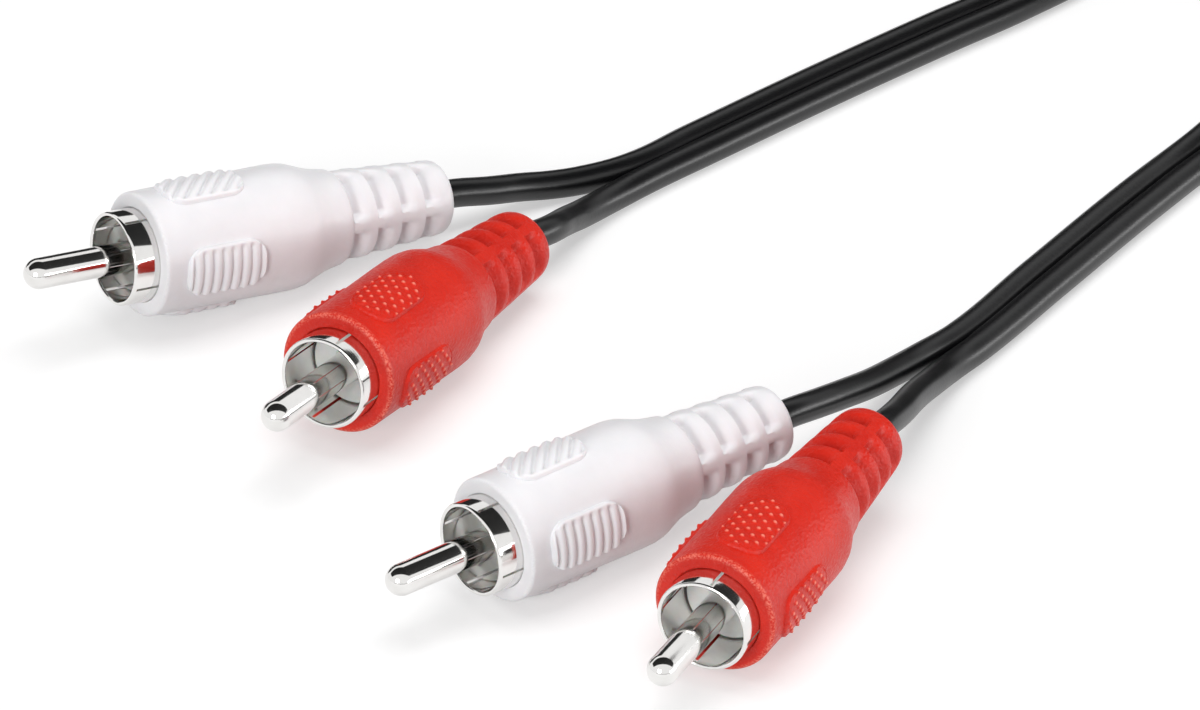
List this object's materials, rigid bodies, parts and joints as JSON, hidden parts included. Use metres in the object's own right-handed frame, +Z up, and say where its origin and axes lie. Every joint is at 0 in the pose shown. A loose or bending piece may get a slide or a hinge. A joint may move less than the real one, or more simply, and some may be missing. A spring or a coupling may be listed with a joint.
{
  "type": "stereo rca audio cable",
  "caption": "Stereo audio lead with white and red phono plugs on both ends of a black twin cord, its spare length coiled.",
  "frame": {"origin": "on the surface that the cable lies on, under the middle of the four plugs", "axes": "+Z up; the picture looks along +Y with +X to the right, and the leads run towards +X and +Y"},
  "size_m": [0.1971, 0.2029, 0.015],
  "materials": {
    "white_plastic": "satin",
    "red_plastic": "satin, finely grained",
    "nickel": "bright nickel plating",
    "nylon": "natural nylon",
    "copper": "bare copper wire",
    "polythene": "cloudy polythene",
    "cord": "satin pvc"
  },
  "bodies": {
    "root": {"white_a_housing": "white_plastic", "white_a_collar": "nickel", "white_a_insulator": "nylon", "white_a_pin": "nickel", "white_a_screen": "copper", "white_a_core": "polythene", "white_a_wire": "copper", "red_a_housing": "red_plastic", "red_a_collar": "nickel", "red_a_insulator": "nylon", "red_a_pin": "nickel", "red_a_screen": "copper", "red_a_core": "polythene", "red_a_wire": "copper", "white_b_housing": "white_plastic", "white_b_collar": "nickel", "white_b_insulator": "nylon", "white_b_pin": "nickel", "white_b_screen": "copper", "white_b_core": "polythene", "white_b_wire": "copper", "red_b_housing": "red_plastic", "red_b_collar": "nickel", "red_b_insulator": "nylon", "red_b_pin": "nickel", "red_b_screen": "copper", "red_b_core": "polythene", "red_b_wire": "copper", "twin_lead_a": "cord", "twin_lead_b": "cord", "lead_coil": "cord"}
  },
  "joints": []
}
